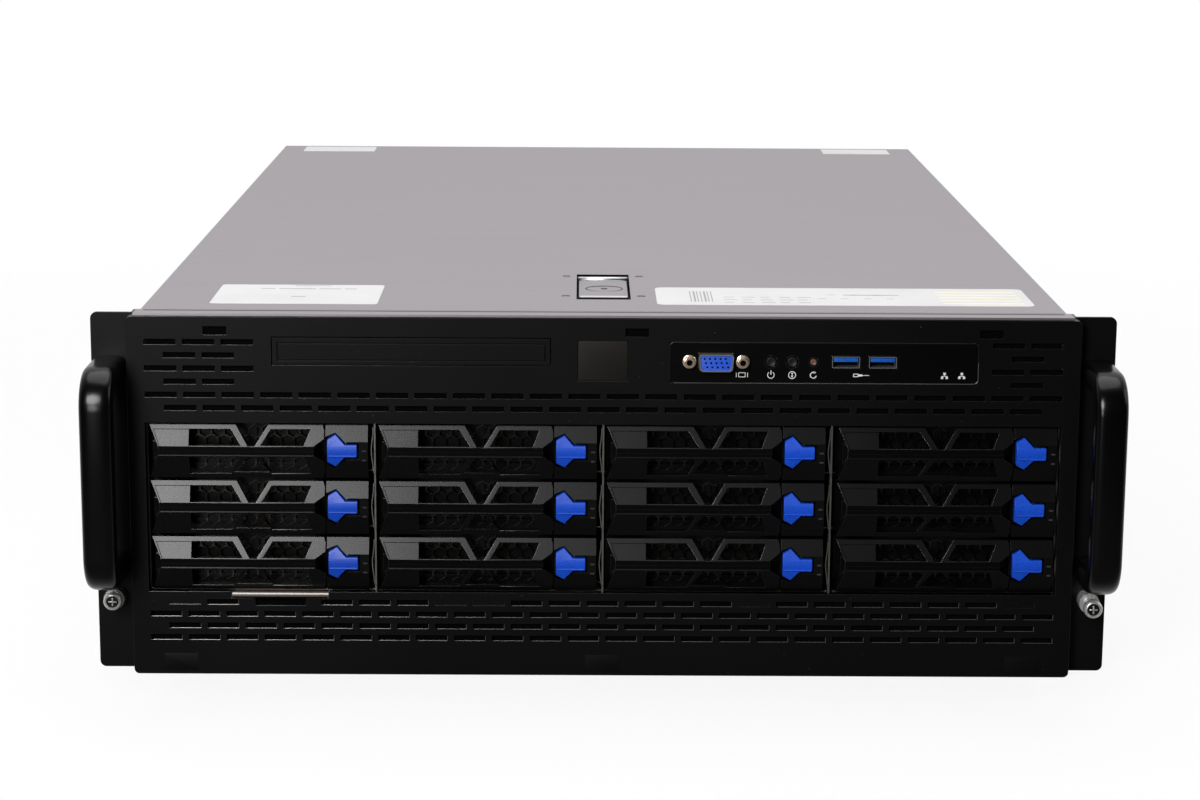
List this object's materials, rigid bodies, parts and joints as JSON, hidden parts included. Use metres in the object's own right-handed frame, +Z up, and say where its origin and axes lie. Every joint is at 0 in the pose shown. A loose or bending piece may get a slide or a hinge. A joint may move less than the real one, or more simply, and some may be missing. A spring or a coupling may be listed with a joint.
{
  "type": "computer server",
  "caption": "Four-unit rack server: steel case with lift-off cover, black slotted bezel, ears with bow handles, front drive carriers with swing levers, control panel and rear power supplies.",
  "frame": {"origin": "centre of the bounding box on the plane of the underside", "axes": "+X to the right as seen from the front, +Y from the front to the rear, +Z up"},
  "size_m": [0.4826, 0.736, 0.175],
  "materials": {
    "case_steel": "satin zinc-grey",
    "bezel_black": "fine satin black",
    "ear_black": "fine satin black",
    "handle_black": "smooth black",
    "screw_steel": "turned",
    "cage_steel": "bright sheet",
    "board_green": "solder mask",
    "panel_black": "satin black",
    "port_metal": "plated",
    "button_black": "smooth dark grey",
    "reset_orange": "smooth orange-brown",
    "tag_grey": "pale",
    "fan_black": "moulded black",
    "supply_metal": "plain sheet",
    "tray_black": "satin black",
    "lever_black": "satin black",
    "latch_blue": "satin blue"
  },
  "bodies": {
    "chassis": {"chassis_tray": "case_steel", "front_bezel": "bezel_black", "rack_ears": "ear_black", "ear_handles": "handle_black", "drive_cage": "cage_steel", "drive_backplane": "board_green", "control_panel": "panel_black", "front_ports": "port_metal", "optical_bay_cover": "bezel_black", "fan_frames": "fan_black", "mainboard": "board_green"},
    "top_cover": {"top_cover": "case_steel"},
    "cover_latch": {"cover_latch": "case_steel"},
    "power_supply_1": {"power_supply_1": "supply_metal"},
    "power_supply_2": {"power_supply_2": "supply_metal"},
    "info_tag": {"info_tag": "tag_grey"},
    "thumbscrew_left": {"thumbscrew_left": "screw_steel"},
    "thumbscrew_right": {"thumbscrew_right": "screw_steel"},
    "power_button": {"power_button": "button_black"},
    "id_button": {"id_button": "button_black"},
    "reset_button": {"reset_button": "reset_orange"},
    "fan_rotor_1": {"fan_rotor_1": "fan_black"},
    "fan_rotor_2": {"fan_rotor_2": "fan_black"},
    "fan_rotor_3": {"fan_rotor_3": "fan_black"},
    "drive_tray_11": {"drive_tray_11": "tray_black"},
    "drive_lever_11": {"drive_lever_11": "lever_black"},
    "drive_latch_11": {"drive_latch_11": "latch_blue"},
    "drive_tray_12": {"drive_tray_12": "tray_black"},
    "drive_lever_12": {"drive_lever_12": "lever_black"},
    "drive_latch_12": {"drive_latch_12": "latch_blue"},
    "drive_tray_13": {"drive_tray_13": "tray_black"},
    "drive_lever_13": {"drive_lever_13": "lever_black"},
    "drive_latch_13": {"drive_latch_13": "latch_blue"},
    "drive_tray_21": {"drive_tray_21": "tray_black"},
    "drive_lever_21": {"drive_lever_21": "lever_black"},
    "drive_latch_21": {"drive_latch_21": "latch_blue"},
    "drive_tray_22": {"drive_tray_22": "tray_black"},
    "drive_lever_22": {"drive_lever_22": "lever_black"},
    "drive_latch_22": {"drive_latch_22": "latch_blue"},
    "drive_tray_23": {"drive_tray_23": "tray_black"},
    "drive_lever_23": {"drive_lever_23": "lever_black"},
    "drive_latch_23": {"drive_latch_23": "latch_blue"},
    "drive_tray_31": {"drive_tray_31": "tray_black"},
    "drive_lever_31": {"drive_lever_31": "lever_black"},
    "drive_latch_31": {"drive_latch_31": "latch_blue"},
    "drive_tray_32": {"drive_tray_32": "tray_black"},
    "drive_lever_32": {"drive_lever_32": "lever_black"},
    "drive_latch_32": {"drive_latch_32": "latch_blue"},
    "drive_tray_33": {"drive_tray_33": "tray_black"},
    "drive_lever_33": {"drive_lever_33": "lever_black"},
    "drive_latch_33": {"drive_latch_33": "latch_blue"},
    "drive_tray_41": {"drive_tray_41": "tray_black"},
    "drive_lever_41": {"drive_lever_41": "lever_black"},
    "drive_latch_41": {"drive_latch_41": "latch_blue"},
    "drive_tray_42": {"drive_tray_42": "tray_black"},
    "drive_lever_42": {"drive_lever_42": "lever_black"},
    "drive_latch_42": {"drive_latch_42": "latch_blue"},
    "drive_tray_43": {"drive_tray_43": "tray_black"},
    "drive_lever_43": {"drive_lever_43": "lever_black"},
    "drive_latch_43": {"drive_latch_43": "latch_blue"}
  },
  "joints": [
    {"name": "cover_lift", "type": "slide", "parent": "chassis", "child": "top_cover", "axis": [0, 0, 1], "range_m": [0, 0.15]},
    {"name": "cover_latch_flip", "type": "hinge", "parent": "top_cover", "child": "cover_latch", "pos_m": [0, -0.2832, 0.1725], "axis": [1, 0, 0], "range_deg": [0, 70]},
    {"name": "tray_slide_11", "type": "slide", "parent": "chassis", "child": "drive_tray_11", "axis": [0, -1, 0], "range_m": [0, 0.15]},
    {"name": "lever_swing_11", "type": "hinge", "parent": "drive_tray_11", "child": "drive_lever_11", "pos_m": [-0.2105, -0.3264, 0.10975], "axis": [0, 0, -1], "range_deg": [0, 55]},
    {"name": "latch_push_11", "type": "slide", "parent": "drive_tray_11", "child": "drive_latch_11", "axis": [0, 1, 0], "range_m": [0, 0.0022], "stiffness_N_per_m": 300},
    {"name": "supply_slide_1", "type": "slide", "parent": "chassis", "child": "power_supply_1", "axis": [0, 1, 0], "range_m": [0, 0.17]},
    {"name": "tag_slide", "type": "slide", "parent": "chassis", "child": "info_tag", "axis": [0, -1, 0], "range_m": [0, 0.045]},
    {"name": "screw_pull_left", "type": "slide", "parent": "chassis", "child": "thumbscrew_left", "axis": [0, -1, 0], "range_m": [0, 0.006]},
    {"name": "power_press", "type": "slide", "parent": "chassis", "child": "power_button", "axis": [0, 1, 0], "range_m": [0, 0.0015], "stiffness_N_per_m": 300},
    {"name": "fan_spin_1", "type": "hinge", "parent": "chassis", "child": "fan_rotor_1", "pos_m": [-0.136, -0.101, 0.0652], "axis": [0, 1, 0], "continuous": true},
    {"name": "supply_slide_2", "type": "slide", "parent": "chassis", "child": "power_supply_2", "axis": [0, 1, 0], "range_m": [0, 0.17]},
    {"name": "screw_push_right", "type": "slide", "parent": "chassis", "child": "thumbscrew_right", "axis": [0, -1, 0], "range_m": [-0.006, 0]},
    {"name": "id_press", "type": "slide", "parent": "chassis", "child": "id_button", "axis": [0, 1, 0], "range_m": [0, 0.0015], "stiffness_N_per_m": 300},
    {"name": "reset_press", "type": "slide", "parent": "chassis", "child": "reset_button", "axis": [0, 1, 0], "range_m": [0, 0.0015], "stiffness_N_per_m": 300},
    {"name": "fan_spin_2", "type": "hinge", "parent": "chassis", "child": "fan_rotor_2", "pos_m": [0, -0.101, 0.0652], "axis": [0, 1, 0], "continuous": true},
    {"name": "fan_spin_3", "type": "hinge", "parent": "chassis", "child": "fan_rotor_3", "pos_m": [0.136, -0.101, 0.0652], "axis": [0, 1, 0], "continuous": true},
    {"name": "tray_slide_12", "type": "slide", "parent": "chassis", "child": "drive_tray_12", "axis": [0, -1, 0], "range_m": [0, 0.15]},
    {"name": "lever_swing_12", "type": "hinge", "parent": "drive_tray_12", "child": "drive_lever_12", "pos_m": [-0.2105, -0.3264, 0.08245], "axis": [0, 0, -1], "range_deg": [0, 55]},
    {"name": "latch_push_12", "type": "slide", "parent": "drive_tray_12", "child": "drive_latch_12", "axis": [0, 1, 0], "range_m": [0, 0.0022], "stiffness_N_per_m": 300},
    {"name": "tray_slide_13", "type": "slide", "parent": "chassis", "child": "drive_tray_13", "axis": [0, -1, 0], "range_m": [0, 0.15]},
    {"name": "lever_swing_13", "type": "hinge", "parent": "drive_tray_13", "child": "drive_lever_13", "pos_m": [-0.2105, -0.3264, 0.05515], "axis": [0, 0, -1], "range_deg": [0, 55]},
    {"name": "latch_push_13", "type": "slide", "parent": "drive_tray_13", "child": "drive_latch_13", "axis": [0, 1, 0], "range_m": [0, 0.0022], "stiffness_N_per_m": 300},
    {"name": "tray_slide_21", "type": "slide", "parent": "chassis", "child": "drive_tray_21", "axis": [0, -1, 0], "range_m": [0, 0.15]},
    {"name": "lever_swing_21", "type": "hinge", "parent": "drive_tray_21", "child": "drive_lever_21", "pos_m": [-0.10265, -0.3264, 0.10975], "axis": [0, 0, -1], "range_deg": [0, 55]},
    {"name": "latch_push_21", "type": "slide", "parent": "drive_tray_21", "child": "drive_latch_21", "axis": [0, 1, 0], "range_m": [0, 0.0022], "stiffness_N_per_m": 300},
    {"name": "tray_slide_22", "type": "slide", "parent": "chassis", "child": "drive_tray_22", "axis": [0, -1, 0], "range_m": [0, 0.15]},
    {"name": "lever_swing_22", "type": "hinge", "parent": "drive_tray_22", "child": "drive_lever_22", "pos_m": [-0.10265, -0.3264, 0.08245], "axis": [0, 0, -1], "range_deg": [0, 55]},
    {"name": "latch_push_22", "type": "slide", "parent": "drive_tray_22", "child": "drive_latch_22", "axis": [0, 1, 0], "range_m": [0, 0.0022], "stiffness_N_per_m": 300},
    {"name": "tray_slide_23", "type": "slide", "parent": "chassis", "child": "drive_tray_23", "axis": [0, -1, 0], "range_m": [0, 0.15]},
    {"name": "lever_swing_23", "type": "hinge", "parent": "drive_tray_23", "child": "drive_lever_23", "pos_m": [-0.10265, -0.3264, 0.05515], "axis": [0, 0, -1], "range_deg": [0, 55]},
    {"name": "latch_push_23", "type": "slide", "parent": "drive_tray_23", "child": "drive_latch_23", "axis": [0, 1, 0], "range_m": [0, 0.0022], "stiffness_N_per_m": 300},
    {"name": "tray_slide_31", "type": "slide", "parent": "chassis", "child": "drive_tray_31", "axis": [0, -1, 0], "range_m": [0, 0.15]},
    {"name": "lever_swing_31", "type": "hinge", "parent": "drive_tray_31", "child": "drive_lever_31", "pos_m": [0.0052, -0.3264, 0.10975], "axis": [0, 0, -1], "range_deg": [0, 55]},
    {"name": "latch_push_31", "type": "slide", "parent": "drive_tray_31", "child": "drive_latch_31", "axis": [0, 1, 0], "range_m": [0, 0.0022], "stiffness_N_per_m": 300},
    {"name": "tray_slide_32", "type": "slide", "parent": "chassis", "child": "drive_tray_32", "axis": [0, -1, 0], "range_m": [0, 0.15]},
    {"name": "lever_swing_32", "type": "hinge", "parent": "drive_tray_32", "child": "drive_lever_32", "pos_m": [0.0052, -0.3264, 0.08245], "axis": [0, 0, -1], "range_deg": [0, 55]},
    {"name": "latch_push_32", "type": "slide", "parent": "drive_tray_32", "child": "drive_latch_32", "axis": [0, 1, 0], "range_m": [0, 0.0022], "stiffness_N_per_m": 300},
    {"name": "tray_slide_33", "type": "slide", "parent": "chassis", "child": "drive_tray_33", "axis": [0, -1, 0], "range_m": [0, 0.15]},
    {"name": "lever_swing_33", "type": "hinge", "parent": "drive_tray_33", "child": "drive_lever_33", "pos_m": [0.0052, -0.3264, 0.05515], "axis": [0, 0, -1], "range_deg": [0, 55]},
    {"name": "latch_push_33", "type": "slide", "parent": "drive_tray_33", "child": "drive_latch_33", "axis": [0, 1, 0], "range_m": [0, 0.0022], "stiffness_N_per_m": 300},
    {"name": "tray_slide_41", "type": "slide", "parent": "chassis", "child": "drive_tray_41", "axis": [0, -1, 0], "range_m": [0, 0.15]},
    {"name": "lever_swing_41", "type": "hinge", "parent": "drive_tray_41", "child": "drive_lever_41", "pos_m": [0.11445, -0.3264, 0.10975], "axis": [0, 0, -1], "range_deg": [0, 55]},
    {"name": "latch_push_41", "type": "slide", "parent": "drive_tray_41", "child": "drive_latch_41", "axis": [0, 1, 0], "range_m": [0, 0.0022], "stiffness_N_per_m": 300},
    {"name": "tray_slide_42", "type": "slide", "parent": "chassis", "child": "drive_tray_42", "axis": [0, -1, 0], "range_m": [0, 0.15]},
    {"name": "lever_swing_42", "type": "hinge", "parent": "drive_tray_42", "child": "drive_lever_42", "pos_m": [0.11445, -0.3264, 0.08245], "axis": [0, 0, -1], "range_deg": [0, 55]},
    {"name": "latch_push_42", "type": "slide", "parent": "drive_tray_42", "child": "drive_latch_42", "axis": [0, 1, 0], "range_m": [0, 0.0022], "stiffness_N_per_m": 300},
    {"name": "tray_slide_43", "type": "slide", "parent": "chassis", "child": "drive_tray_43", "axis": [0, -1, 0], "range_m": [0, 0.15]},
    {"name": "lever_swing_43", "type": "hinge", "parent": "drive_tray_43", "child": "drive_lever_43", "pos_m": [0.11445, -0.3264, 0.05515], "axis": [0, 0, -1], "range_deg": [0, 55]},
    {"name": "latch_push_43", "type": "slide", "parent": "drive_tray_43", "child": "drive_latch_43", "axis": [0, 1, 0], "range_m": [0, 0.0022], "stiffness_N_per_m": 300}
  ]
}
